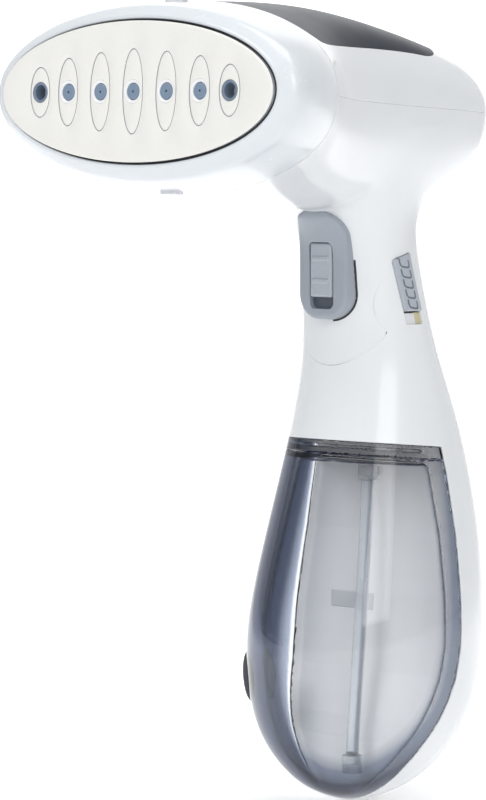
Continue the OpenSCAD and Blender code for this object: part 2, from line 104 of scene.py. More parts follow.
def spline(rows, tip, steps=160):
    """Smooth curve through rows; with a tip, the row after it only shapes the end."""
    rows = np.array(rows, float)
    n = len(rows)
    curve = np.zeros_like(rows)
    system = 4 * np.eye(n - 2) + np.eye(n - 2, k=1) + np.eye(n - 2, k=-1)
    curve[1:-1] = np.linalg.solve(system, 6 * (rows[2:] - 2 * rows[1:-1] + rows[:-2]))
    spans = n - 2 if tip else n - 1
    out = []
    for i in range(spans):
        t = np.linspace(0, 1, steps, endpoint=i == spans - 1)[:, None]
        u = 1 - t
        out.append(u * rows[i] + t * rows[i + 1]
                   + ((u ** 3 - u) * curve[i] + (t ** 3 - t) * curve[i + 1]) / 6)
    return np.concatenate(out)


head_curve = spline(HEAD_ROWS, True)
grip_curve = spline(GRIP_ROWS, True)[::-1]


def at(curve, key, columns):
    return [np.interp(key, curve[:, 0], curve[:, c]) for c in columns]


# ---- the body as one field: below 0 inside, about the distance outside ----

PITCH_COS, PITCH_SIN = math.cos(HEAD_PITCH), math.sin(HEAD_PITCH)


def to_head(p):
    """World point to the head's own frame: across, along, up."""
    y, z = p[..., 1], p[..., 2] - HEAD_Z
    return p[..., 0], y * PITCH_COS - z * PITCH_SIN, y * PITCH_SIN + z * PITCH_COS


def from_head(x, v, w):
    x, v, w = np.broadcast_arrays(np.asarray(x, float), v, w)
    return np.stack([x, v * PITCH_COS + w * PITCH_SIN,
                     HEAD_Z - v * PITCH_SIN + w * PITCH_COS], -1)


def oval_distance(x, y, a, b, n=2.0):
    """About the distance to an oval of half sizes a and b and roundness n."""
    tiny = 1e-4
    r = (np.abs(x / a) ** n + np.abs(y / b) ** n) ** (1 / n)
    steep = np.sqrt((x / a ** 2) ** 2 + (y / b ** 2) ** 2)
    return (r - 1) * (r + tiny) / (steep + tiny / np.minimum(a, b))


def smooth_min(a, b, k):
    h = np.maximum(k - np.abs(a - b), 0) / k
    return np.minimum(a, b) - h ** 3 * k / 6


def smooth_max(a, b, k):
    return -smooth_min(-a, -b, k)


def head_field(p):
    x, v, w = to_head(p)
    a, top, low, n = at(head_curve, v, (1, 2, 3, 4))
    tall = np.where(w > 0, top, low)
    field = oval_distance(x, w, np.maximum(a, 0.02), np.maximum(tall, 0.02), n)
    # a shallow notch where the two halves meet at the very back
    notch = 1.3 * np.exp(-((w / 3.2) ** 2)) * np.clip((v - 44) / 9, 0, 1) ** 2
    return np.maximum(field, v - head_curve[-1, 0]) + notch


def grip_field(p):
    centre, depth, width = at(grip_curve, p[..., 2], (1, 2, 3))
    field = oval_distance(p[..., 0], p[..., 1] - centre,
                          np.maximum(width, 0.02), np.maximum(depth, 0.02))
    return np.maximum(np.maximum(field, grip_curve[0, 0] - p[..., 2]), p[..., 2] - 66)


def body_field(p):
    """Head and handle, blended tightly in front of the neck and widely behind."""
    blend = np.interp(p[..., 1], [-34, 24], [9, 30])
    return smooth_min(head_field(p), grip_field(p), blend)


def gradient(field, p, step=0.05):
    out = np.empty_like(p)
    for i in range(3):
        d = np.zeros(3)
        d[i] = step
        out[:, i] = (field(p + d) - field(p - d)) / (2 * step)
    return out


def unit(v):
    return v / np.maximum(np.linalg.norm(v, axis=-1, keepdims=True), 1e-9)


def settle(field, p, rounds=4, reach=1.5):
    """Moves points onto the surface of a field."""
    for _ in range(rounds):
        g = gradient(field, p)
        move = -field(p)[:, None] * g / np.maximum((g ** 2).sum(1, keepdims=True), 1e-4)
        length = np.maximum(np.linalg.norm(move, axis=1, keepdims=True), 1e-9)
        p = p + move * np.minimum(1, reach / length)
    return p


def skin_of(field, low, high, step):
    """Quads over the zero surface of a field, as points and triangles."""
    low, high = np.array(low, float), np.array(high, float)
    count = np.ceil((high - low) / step).astype(int) + 1
    axes = [low[i] + step * np.arange(count[i]) for i in range(3)]
    values = np.empty(count)
    yz = np.stack(np.meshgrid(axes[1], axes[2], indexing="ij"), -1)
    for i, x in enumerate(axes[0]):
        values[i] = field(np.concatenate([np.full(yz.shape[:2] + (1,), x), yz], -1))
    inside = values < 0
    corners = np.array([(i, j, k) for i in (0, 1) for j in (0, 1) for k in (0, 1)])
    cells = tuple(c - 1 for c in count)
    votes = sum(inside[i:i + cells[0], j:j + cells[1], k:k + cells[2]].astype(np.int8)
                for i, j, k in corners)
    index = np.argwhere((votes > 0) & (votes < 8))
    corner_values = np.stack([values[tuple((index + c).T)] for c in corners], 1)
    total = np.zeros((len(index), 3))
    hits = np.zeros(len(index))
    for a in range(8):
        for axis in range(3):
            if corners[a][axis]:
                continue
            other = corners[a].copy()
            other[axis] = 1
            b = int(other @ (4, 2, 1))
            fa, fb = corner_values[:, a], corner_values[:, b]
            cross = (fa < 0) != (fb < 0)
            t = np.where(cross, fa / np.where(cross, fa - fb, 1), 0)
            point = corners[a] + t[:, None] * (corners[b] - corners[a])
            total += point * cross[:, None]
            hits += cross
    points = low + (index + total / hits[:, None]) * step
    ids = np.full(cells, -1)
    ids[tuple(index.T)] = np.arange(len(index))
    quads = []
    for axis in range(3):
        near = inside[tuple(slice(0, -1) if i == axis else slice(None) for i in range(3))]
        far = inside[tuple(slice(1, None) if i == axis else slice(None) for i in range(3))]
        edges = np.argwhere(near != far)
        u, v = [i for i in range(3) if i != axis]
        ok = ((edges[:, u] > 0) & (edges[:, v] > 0)
              & (edges[:, u] < cells[u]) & (edges[:, v] < cells[v]))
        edges = edges[ok]
        ring = []
        for du, dv in ((1, 1), (0, 1), (0, 0), (1, 0)):
            cell = edges.copy()
            cell[:, u] -= du
            cell[:, v] -= dv
            ring.append(ids[tuple(cell.T)])
        quad = np.stack(ring, 1)
        flip = near[tuple(edges.T)] == (axis == 1)
        quad[flip] = quad[flip][:, ::-1]
        quads.append(quad)
    quads = np.concatenate(quads)
    tris = np.concatenate([quads[:, [0, 1, 2]], quads[:, [0, 2, 3]]])
    return settle(field, points), tris


# ---- cutting a skin along a line, and giving it thickness ----

SNAP = 0.35


def onto_line(p, cut):
    """Moves points of the body's skin onto the line where cut is 0."""
    for _ in range(4):
        n = unit(gradient(body_field, p))
        g = gradient(cut, p)
        g -= (g * n).sum(1, keepdims=True) * n
        p = p - cut(p)[:, None] * g / np.maximum((g ** 2).sum(1, keepdims=True), 0.05)
        p = settle(body_field, p, rounds=1)
    return p


def clip(points, tris, cut):
    """The part of the body's skin where cut is below 0, with a clean edge."""
    value = cut(points)
    points = points.copy()
    near = np.abs(value) < SNAP
    points[near] = onto_line(points[near], cut)
    value[near] = 0
    side = np.sign(value)[tris]
    kept = [tris[(side <= 0).all(1) & (side < 0).any(1)]]
    mixed = (side > 0).any(1) & (side < 0).any(1)
    tri, sgn = tris[mixed], side[mixed]
    # turn each crossed triangle so that its odd corner comes first
    odd = np.where((sgn == 0).any(1), (sgn == 0).argmax(1),
                   np.where((sgn < 0).sum(1) == 1, (sgn < 0).argmax(1), (sgn > 0).argmax(1)))
    turn = (odd[:, None] + np.arange(3)) % 3
    tri = np.take_along_axis(tri, turn, 1)
    sgn = np.take_along_axis(sgn, turn, 1)
    pairs = np.stack([tri, np.roll(tri, -1, 1)], 2)
    crossed = sgn * np.roll(sgn, -1, 1) < 0
    keys = np.sort(pairs[crossed], 1)
    found, back = np.unique(keys, axis=0, return_inverse=True)
    a, b = found[:, 0], found[:, 1]
    t = (value[a] / (value[a] - value[b]))[:, None]
    fresh = onto_line(points[a] + t * (points[b] - points[a]), cut)
    new_id = np.full(crossed.shape, -1)
    new_id[crossed] = len(points) + back.ravel()
    zero, alone = sgn[:, 0] == 0, sgn[:, 0] < 0
    for mask, corner_rows in (
            (~zero & alone, [(tri[:, 0], new_id[:, 0], new_id[:, 2])]),
            (~zero & ~alone, [(tri[:, 1], tri[:, 2], new_id[:, 2]),
                              (tri[:, 1], new_id[:, 2], new_id[:, 0])]),
            (zero & (sgn[:, 1] < 0), [(tri[:, 0], tri[:, 1], new_id[:, 1])]),
            (zero & (sgn[:, 1] > 0), [(tri[:, 0], new_id[:, 1], tri[:, 2])])):
        for row in corner_rows:
            kept.append(np.stack(row, 1)[mask])
    points = np.concatenate([points, fresh])
    tris = np.concatenate(kept)
    used, flat = np.unique(tris, return_inverse=True)
    return points[used], flat.reshape(tris.shape)


def shell(points, tris, thick, soft):
    """A skin with thickness: rounded outer edges, walls and an inner face."""
    n = unit(gradient(body_field, points))
    edges = np.concatenate([tris[:, [0, 1]], tris[:, [1, 2]], tris[:, [2, 0]]])
    size = len(points)
    code = edges[:, 0] * size + edges[:, 1]
    rim = edges[~np.isin(code, edges[:, 1] * size + edges[:, 0])]
    along = unit(points[rim[:, 1]] - points[rim[:, 0]])
    out = unit(np.cross(along, n[rim].mean(1)))
    total = np.zeros((size, 3))
    np.add.at(total, rim[:, 0], out)
    np.add.at(total, rim[:, 1], out)
    total = unit(total)
    corner = np.ones(size)
    np.minimum.at(corner, rim[:, 0], (total[rim[:, 0]] * out).sum(1))
    line = np.unique(rim)
    o = total[line] / np.maximum(corner[line], 0.5)[:, None]
    place = np.full(size, -1)
    place[line] = np.arange(len(line))
    ends = place[rim]
    rings, ring_normals = [line], [n[line]]
    blocks = [points]
    count = size
    for turn in np.radians([30, 60, 90]):
        ring = points[line] + o * soft * math.sin(turn) - n[line] * soft * (1 - math.cos(turn))
        blocks.append(ring)
        rings.append(count + np.arange(len(line)))
        ring_normals.append(unit(n[line] * math.cos(turn) + o * math.sin(turn)))
        count += len(line)
    blocks.append(points - n * thick)
    inner = count
    polys = [tris, tris[:, ::-1] + inner]
    normals = [n[tris], -n[tris[:, ::-1]]]
    quads, quad_normals = [], []
    for k in range(3):
        quads.append(np.stack([rings[k][ends[:, 1]], rings[k][ends[:, 0]],
                               rings[k + 1][ends[:, 0]], rings[k + 1][ends[:, 1]]], 1))
        m0, m1 = ring_normals[k], ring_normals[k + 1]
        quad_normals.append(np.stack([m0[ends[:, 1]], m0[ends[:, 0]],
                                      m1[ends[:, 0]], m1[ends[:, 1]]], 1))
    quads.append(np.stack([rings[3][ends[:, 1]], rings[3][ends[:, 0]],
                           inner + rim[:, 0], inner + rim[:, 1]], 1))
    wall = unit(o)
    quad_normals.append(np.stack([wall[ends[:, i]] for i in (1, 0, 0, 1)], 1))
    return (np.concatenate(blocks), np.concatenate(polys), np.concatenate(normals),
            np.concatenate(quads), np.concatenate(quad_normals))


# ---- making objects ----

def face_out(mesh):
    """Turns the faces of a closed mesh outwards."""
    work = bmesh.new()
    work.from_mesh(mesh)
    bmesh.ops.recalc_face_normals(work, faces=work.faces)
    work.to_mesh(mesh)
    work.free()


def add(name, points, faces, material, normals=None, body="root", slot=None, sharp=35):
    """A Blender object from points in millimetres."""
    mesh = bpy.data.meshes.new(name)
    mesh.from_pydata((np.asarray(points) * MM).tolist(), [], faces)
    mesh.polygons.foreach_set("use_smooth", np.ones(len(mesh.polygons), bool))
    if normals is None:
        face_out(mesh)
        mesh.set_sharp_from_angle(angle=math.radians(sharp))
    else:
        mesh.normals_split_custom_set(np.asarray(normals).reshape(-1, 3).tolist())
    mesh.update()
    piece = bpy.data.objects.new(name, mesh)
    bpy.context.scene.collection.objects.link(piece)
    mesh.materials.append(material)
    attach(piece, body)
    return piece


def add_skin(name, points, tris, material, field, **kw):
    """A closed skin of a field, shaded by the field itself."""
    normals = unit(gradient(field, points, 0.02))
    return add(name, points, tris.tolist(), material, normals[tris], **kw)


def add_shell(name, parts, material, **kw):
    """One object from shells that may be several separate patches."""
    points, faces, normals, count = [], [], [], 0
    for pts, tris, tri_normals, quads, quad_normals in parts:
        points.append(pts)
        faces += (tris + count).tolist() + (quads + count).tolist()
        normals += [tri_normals.reshape(-1, 3), quad_normals.reshape(-1, 3)]
        count += len(pts)
    return add(name, np.concatenate(points), faces, material, np.concatenate(normals), **kw)


def lathe(profile, turns=64):
    """Round piece from (radius, height) points about +Z; ends on the axis close it."""
    points, faces, rows = [], [], []
    for r, h in profile:
        if r < 1e-6:
            rows.append([len(points)] * turns)
            points.append((0, 0, h))
        else:
            rows.append(list(range(len(points), len(points) + turns)))
            points += [(r * math.cos(2 * math.pi * i / turns),
                        r * math.sin(2 * math.pi * i / turns), h) for i in range(turns)]
    pairs = list(zip(rows, rows[1:]))
    if profile[0][0] > 1e-6:
        pairs.append((rows[-1], rows[0]))
    for low, high in pairs:
        for i in range(turns):
            j = (i + 1) % turns
            corner = [low[i], low[j], high[j], high[i]]
            faces.append([c for k, c in enumerate(corner) if c != corner[k - 1]])
    return np.array(points, float), faces


def ring_faces(rows, count, closed=True):
    """Quads between neighbouring rows of count points; closed joins the last to the first."""
    faces = []
    for r in range(rows if closed else rows - 1):
        q = (r + 1) % rows
        for k in range(count):
            m = (k + 1) % count
            faces.append([r * count + k, r * count + m, q * count + m, q * count + k])
    return faces


def rounded(profile, r, steps=4):
    """A profile with its corners rounded by r."""
    out = [profile[0]]
    for a, b, c in zip(profile, profile[1:], profile[2:]):
        a, b, c = map(np.array, (a, b, c))
        la, lc = np.linalg.norm(a - b), np.linalg.norm(c - b)
        k = min(r, la * 0.45, lc * 0.45)
        p, q = b + (a - b) / la * k, b + (c - b) / lc * k
        for i in range(steps + 1):
            t = i / steps
            out.append(tuple((1 - t) ** 2 * p + 2 * t * (1 - t) * b + t * t * q))
    return out + [profile[-1]]


def placed(points, origin, axis):
    """Points about +Z moved to an origin with +Z along axis."""
    axis = np.asarray(axis, float) / np.linalg.norm(axis)
    side = unit(np.cross([0.0, 0.0, 1.0] if abs(axis[2]) < 0.9 else [1.0, 0.0, 0.0], axis))
    up = np.cross(axis, side)
    return np.asarray(origin) + points[:, :1] * side + points[:, 1:2] * up + points[:, 2:] * axis


def spun(profile, r, origin, axis):
    """A round piece with its corners rounded, from an origin along an axis."""
    points, faces = lathe(rounded(profile, r))
    return placed(points, origin, axis), faces


def joined(pieces):
    """Several meshes as one."""
    points, faces, count = [], [], 0
    for pts, fcs in pieces:
        points.append(np.asarray(pts))
        faces += [[i + count for i in f] for f in fcs]
        count += len(pts)
    return np.concatenate(points), faces


# ---- materials ----

def feed(tree, node, **inputs):
    """Sets a node's inputs, by name with _ for a blank, to values or to other nodes' outputs."""
    for name, value in inputs.items():
        socket = node.inputs[name.replace("_", " ")]
        if isinstance(value, bpy.types.NodeSocket):
            tree.links.new(value, socket)
        else:
            socket.default_value = value


def new_node(tree, kind, settings=None, **inputs):
    """A new shader node with its settings and inputs."""
    node = tree.nodes.new("ShaderNode" + kind)
    for key, value in (settings or {}).items():
        setattr(node, key, value)
    feed(tree, node, **inputs)
    return node


def material(name, color, rough, coat=0.0, metal=0.0, ior=1.5, speck=0.03, speck_scale=900,
             rough_swing=0.04, bump=0.0, bump_scale=2500, through=0.0):
    """Moulded material: fine colour variation, uneven gloss and a fine surface grain."""
    mat = bpy.data.materials.new(name)
    mat.use_nodes = True
    tree = mat.node_tree
    place = new_node(tree, "TexCoord").outputs["Object"]

    def noise(scale, detail):
        return new_node(tree, "TexNoise", Scale=scale, Detail=detail, Vector=place).outputs["Fac"]

    mix = new_node(tree, "Mix", {"data_type": "RGBA"}, Factor=noise(speck_scale, 3),
                A=(*[c * (1 - speck) for c in color], 1),
                B=(*[min(1, c * (1 + speck)) for c in color], 1))
    swing = new_node(tree, "MapRange", Value=noise(60, 4),
                  To_Min=max(0.0, rough - rough_swing), To_Max=rough + rough_swing)
    feed(tree, shader_of(mat), Metallic=metal, IOR=ior, Coat_Weight=coat, Coat_Roughness=0.04,
         Transmission_Weight=through, Base_Color=mix.outputs["Result"],
         Roughness=swing.outputs["Result"])
    if bump:
        relief = new_node(tree, "Bump", Strength=bump, Distance=0.0002,
                          Height=noise(bump_scale, 2))
        feed(tree, shader_of(mat), Normal=relief.outputs["Normal"])
    return mat


def shader_of(mat):
    return mat.node_tree.nodes["Principled BSDF"]


def glow(mat, strength):
    feed(mat.node_tree, shader_of(mat), Emission_Color=(1, 1, 1, 1), Emission_Strength=strength)


def clear_tint_and_rim_shade(mat, color, density, ends, middle):
    """Tints what a clear wall lets through, and darkens its colour towards the rim seen edge-on:
    painted rim shade.
    """
    tree, shader = mat.node_tree, shader_of(mat)
    absorb = new_node(tree, "VolumeAbsorption", Color=(*color, 1), Density=density)
    feed(tree, tree.nodes["Material Output"], Volume=absorb.outputs["Volume"])
    # painted rim shade: the ramp below turns the base colour dark navy where the wall is seen
    # edge-on
    facing = new_node(tree, "LayerWeight", Blend=0.5)
    ramp = new_node(tree, "ValToRGB", Fac=facing.outputs["Facing"])
    steps = ramp.color_ramp.elements
    for step, (place, shade) in zip(steps, ends):
        step.position, step.color = place, (*shade, 1)
    steps.new(middle[0]).color = (*middle[1], 1)
    rim_shade = new_node(tree, "Mix", {"data_type": "RGBA", "blend_type": "MULTIPLY"}, Factor=1,
                   A=shader.inputs["Base Color"].links[0].from_socket, B=ramp.outputs["Color"])
    feed(tree, shader, Base_Color=rim_shade.outputs["Result"])


white = material("white_shell", (0.80, 0.82, 0.84), 0.24, coat=0.5, speck=0.012, bump=0.03,
                 bump_scale=1800)
dark_gloss = material("dark_panel", (0.022, 0.028, 0.04), 0.36, ior=1.3, speck=0.15,
                      rough_swing=0.05)
shader_of(dark_gloss).inputs["Specular IOR Level"].default_value = 0.3
bezel_white = material("bezel_white", (0.74, 0.775, 0.81), 0.26, coat=0.5, speck=0.012,
                       bump=0.03, bump_scale=1800)
collar_white = material("collar_white", (0.88, 0.89, 0.90), 0.2, coat=0.5, speck=0.01)
bay_glow_white = material("bay_glow_white", (0.90, 0.90, 0.90), 0.5, speck=0.02, bump=0.05)
glow(bay_glow_white, 0.12)    # painted light: a glow standing in for the light that the clear tank passes on to it
floor_white = material("floor_white", (0.90, 0.90, 0.90), 0.7, speck=0.01, speck_scale=40)
glow(floor_white, 0.0)    # set by the stage below
cream = material("plate_coating", (0.86, 0.85, 0.81), 0.30, coat=0.25, speck=0.035,
                 speck_scale=1400, bump=0.06, bump_scale=3000)
plate_side = material("plate_side", (0.50, 0.51, 0.53), 0.25, metal=0.9, speck=0.05)
# painted shade: grey for the walls of the grooves round the plate's recesses, darker than the
# cream face
plate_groove_shade = material("plate_groove_shade", (0.50, 0.51, 0.53), 0.35, speck=0.04)
# the dark rubber of the plate's lip seal, also used for the painted shadow strip by the switch
# panel
gasket_and_gap_shadow_mat = material("dark_rubber", (0.02, 0.02, 0.025), 0.45, bump=0.1)
insert_mat = material("blue_grey_insert", (0.20, 0.27, 0.37), 0.30, coat=0.3, bump=0.05)
socket_mat = material("socket_ring", (0.16, 0.21, 0.29), 0.28, coat=0.4, bump=0.05)
clear_white = material("clear_white", (0.90, 0.91, 0.93), 0.12, through=0.25, speck=0.01)
grey = material("grey_plastic", (0.34, 0.37, 0.42), 0.34, coat=0.25, bump=0.10,
                bump_scale=2200)
grey_light = material("slider_grey", (0.42, 0.45, 0.50), 0.34, coat=0.2, bump=0.10,
                      bump_scale=2200)
# painted shade: a dark colour for the slot floor, so that the gap round the button and the slot
# below it read dark
slot_shade_dark = material("slot_shade_dark", (0.10, 0.115, 0.15), 0.35, speck=0.04, bump=0.08)
# painted shade: dark grey that fills the slider's grooves so that their lines read dark
slider_groove_shade = material("slider_groove_shade", (0.16, 0.18, 0.22), 0.4, speck=0.04, bump=0.08)
mark_grey = material("mark_grey", (0.80, 0.81, 0.83), 0.5, speck=0.03, bump=0.05)
amber = material("amber_strip", (0.62, 0.56, 0.36), 0.4, bump=0.05)
rubber_grey = material("plug_rubber", (0.06, 0.063, 0.075), 0.5, bump=0.12)
smoke = material("smoke_clear", (0.95, 0.96, 0.97), 0.02, ior=1.45, through=1.0,
                 speck=0.006, rough_swing=0.01)
# the smoky tank gets painted rim shade: dark navy where its wall is seen edge-on
clear_tint_and_rim_shade(smoke, (0.31, 0.34, 0.40), 22, ends=[(0.22, (1, 1, 1)), (0.5, (0.012, 0.016, 0.035))],
           middle=(0.34, (0.17, 0.21, 0.31)))
shader_of(smoke).inputs["Specular IOR Level"].default_value = 0.3
dark_plastic = material("dark_plastic", (0.05, 0.05, 0.06), 0.4, bump=0.15)
cast = material("cast_aluminium", (0.62, 0.63, 0.64), 0.42, metal=1.0, speck=0.08, bump=0.4,
                bump_scale=700)
steel = material("plain_steel", (0.58, 0.59, 0.60), 0.28, metal=1.0, speck=0.06, bump=0.08)
brass = material("brass_parts", (0.72, 0.56, 0.28), 0.28, metal=1.0, speck=0.06, bump=0.08)
heater = material("heater_steel", (0.30, 0.26, 0.22), 0.42, metal=0.9, speck=0.2, bump=0.2)
silicone = material("red_silicone", (0.50, 0.12, 0.07), 0.45, bump=0.1)
copper = material("copper_coil", (0.60, 0.28, 0.12), 0.32, metal=0.9, speck=0.1, bump=0.5,
                  bump_scale=1200)
board = material("board_green", (0.02, 0.16, 0.07), 0.35, coat=0.4, speck=0.12, bump=0.1)
wire = material("wire_jacket", (0.14, 0.08, 0.05), 0.45, bump=0.1)
milky = material("clear_tube", (0.82, 0.85, 0.88), 0.15, through=0.75, speck=0.01)


# ---- the lines between the shells, each below 0 on the side it names ----

GAP = 0.15


def polygon_distance(u, w, corners):
    """Distance to a closed outline, below 0 inside it."""
    best = np.full(np.shape(u), 1e9)
    inside = np.zeros(np.shape(u), bool)
    for (ax, ay), (bx, by) in zip(corners, np.roll(corners, -1, 0)):
        ex, ey = bx - ax, by - ay
        t = np.clip(((u - ax) * ex + (w - ay) * ey) / (ex * ex + ey * ey), 0, 1)
        best = np.minimum(best, (u - ax - t * ex) ** 2 + (w - ay - t * ey) ** 2)
        if ey:
            inside ^= ((ay > w) != (by > w)) & (u < (w - ay) * ex / ey + ax)
    return np.where(inside, -1, 1) * np.sqrt(best)


def eased(corners, rounds=2):
    """An outline with its corners cut twice, so that it bends softly."""
    p = np.array(corners, float)
    for _ in range(rounds):
        q = np.roll(p, -1, 0)
        p = np.stack([0.75 * p + 0.25 * q, 0.25 * p + 0.75 * q], 1).reshape(-1, 2)
    return p


PANEL_SIDE = eased([(-120, 66), (-95.5, 36), (-93.5, 27), (-91, 22.5), (-87, 19.4), (-81, 17.9),
                    (-55, 18.7), (-30, 19.5), (-8, 19.5), (8, 18.7), (18, 23), (24, 34),
                    (24, 80), (-120, 80)])
HANDLE_SIDE = np.array([(-60, -14), (-22.2, -12.4), (-12.5, 0.3), (0.9, 4), (0.9, 28.8),
                        (60, 28.8), (60, -300), (-60, -300)], float)
SPINE_Z = [-180, -168, -160, -150, -142, -134, -126, -115, -97, -75, -52, -38]
SPINE_Y = [-12, -12, -10.5, -7.5, -4, -1, 1.8, 3.7, 5, 6, 5.4, 4]
SLIDER = np.array([(-11.9, 27), (-4.2, 29.4), (1.5, 8), (-7.2, 8)], float)
POCKET = np.array([(-11.9, 27), (-4.2, 29.4), (1.5, 8), (2.68, 3.3), (-6.02, 3.3)], float)
GLAND = np.array([0, 35, -151.0])
GLAND_AXIS = np.array([0, math.cos(math.radians(35.6)), -math.sin(math.radians(35.6))])


def seam(p):
    x, v, _ = to_head(p)
    return v - (SEAM_TOP + SEAM_SWEEP * (np.abs(x) / SEAM_HALF) ** 4)


def parting(p):
    return to_head(p)[2]


def panel_side(p):
    _, v, w = to_head(p)
    return polygon_distance(v, w, PANEL_SIDE)


def handle_side(p):
    y, z = p[..., 1], p[..., 2]
    return np.minimum(polygon_distance(y, z, HANDLE_SIDE), np.hypot(y - 0.9, z - 11.4) - 17.4)


def lid_plane(p):
    """Below 0 under the slanted top of the tank."""
    c, s = math.cos(TANK_TILT), math.sin(TANK_TILT)
    return (p[..., 2] - TANK_TOP) * c + p[..., 1] * s


def spine_side(p):
    return p[..., 1] - np.interp(p[..., 2], SPINE_Z, SPINE_Y)


def tank_side(p):
    return np.maximum(spine_side(p), lid_plane(p))


def pocket(p):
    inside = polygon_distance(p[..., 1], p[..., 2], POCKET) - 0.3
    return np.where(p[..., 0] > 0, inside, 50.0)


def gland_hole(p):
    off = p - GLAND
    return np.where(p[..., 1] > 10, np.linalg.norm(np.cross(off, GLAND_AXIS), axis=-1), 50) - 6.1


def switch_hole(p):
    box = np.maximum(np.abs(p[..., 0]) - 6.3, np.abs(p[..., 2] - 20) - 14)
    return np.where(p[..., 1] < 0, box, 50.0)


def past(cut, gap=GAP):
    """The side of a line that it names, less half of the gap."""
    return lambda p: cut(p) + gap


def outside(cut, gap=GAP):
    """The other side of a line, less half of the gap."""
    return lambda p: gap - cut(p)


# ---- shells of the body ----

skin_points, skin_tris = skin_of(body_field, (-73, -122, -176), (73, 60, 120), 1.6)


def patch(*cuts):
    """The part of the body's skin that is below 0 for every line."""
    points, tris = skin_points, skin_tris
    for cut in cuts:
        points, tris = clip(points, tris, cut)
    return points, tris


behind = outside(seam)
# the dark panel starts a little behind the seam, and a white rim fills the strip before it
panel = patch(lambda p: 1.1 - seam(p), past(panel_side, 0.12))
top = patch(behind, outside(parting, 0.26), outside(panel_side, 0.12))
rim = patch(behind, past(panel_side, 0.12), lambda p: seam(p) - 0.85)
neck = patch(behind, past(parting, 0.26), outside(handle_side), outside(pocket, 0.0),
             outside(switch_hole, 0.0))
handle = patch(past(handle_side), outside(tank_side, 0.05), outside(pocket, 0.0),
               outside(gland_hole, 0.0))

made = {}
made["top_panel"] = add_shell("top_panel_shell", [shell(*panel, 1.3, 0.25)], dark_gloss,
                              slot="dark_panel")
made["head_top_shell"] = add_shell(
    "head_top_cover", [shell(*top, WALL, 0.3), shell(*rim, WALL, 0.2)], white,
    slot="white_shell")
made["neck_housing"] = add_shell("neck_cover", [shell(*neck, WALL, 0.2)], white,
                                 slot="white_shell")
made["handle_shell"] = add_shell("handle_cover", [shell(*handle, WALL, 0.3)], white,
                                 slot="white_shell")


# ---- bezel around the plate ----

def head_point(turn, v):
    """Points on the head's skin, by the angle round it and the place along it."""
    a, up, low, n = at(head_curve, v, (1, 2, 3, 4))
    c, s = np.cos(turn), np.sin(turn)
    x = a * np.sign(c) * np.abs(c) ** (2 / n)
    w = np.sign(s) * np.abs(s) ** (2 / n)
    return from_head(x, v, np.where(w > 0, up, low) * w)


TURNS = np.linspace(0, 2 * np.pi, 240, endpoint=False)


def bezel():
    """The ring from the seam round the front to behind the plate, row by row."""
    v = np.full(TURNS.shape, SEAM_TOP, float)
    for _ in range(30):
        x = head_point(TURNS, v)[:, 0]
        v = v * 0.5 + 0.5 * (SEAM_TOP + SEAM_SWEEP * (np.abs(x) / SEAM_HALF) ** 4)
    rows = []

    def row(offset, depth):
        p = head_point(TURNS, v + offset)
        n = unit(gradient(head_field, p))
        rows.append(p - n * depth)

    row(-GAP - 0.3, WALL)
    row(-GAP, WALL - 0.3)
    row(-GAP, 0.4)
    row(-GAP - 0.1, 0.1)
    row(-GAP - 0.4, 0)
    front = -122.8
    for t in np.linspace(0.03, 1, 26) ** 0.9:
        rows.append(head_point(TURNS, (v - GAP - 0.4) * (1 - t) + front * t))
    for a, b, vv in ((66.5, 26.7, -123.75), (65.6, 26.1, -124.1), (64.9, 25.45, -124.1),
                     (64.55, 25.1, -123.8), (64.45, 25.0, -123.2), (64.45, 25.0, -119)):
        rows.append(from_head(a * np.cos(TURNS), vv, b * np.sin(TURNS)))
    rows.append(from_head(67 * np.cos(TURNS), -118, 28 * np.sin(TURNS)))
    return np.concatenate(rows), ring_faces(len(rows), len(TURNS))


made["front_bezel"] = add("bezel_ring", *bezel(), bezel_white, slot="white_shell", sharp=50)


# ---- steam plate ----

RECESS_HALF = 4.65
RECESS_TALL = [8.7, 11.75, 13.5, 14.6, 13.5, 11.75, 8.7]


def loop(cx, a, b, v, count, first):
    """Indices and points of an ellipse on the plate."""
    t = np.linspace(0, 2 * np.pi, count, endpoint=False)
    return list(range(first, first + count)), from_head(cx + a * np.cos(t), v, b * np.sin(t))


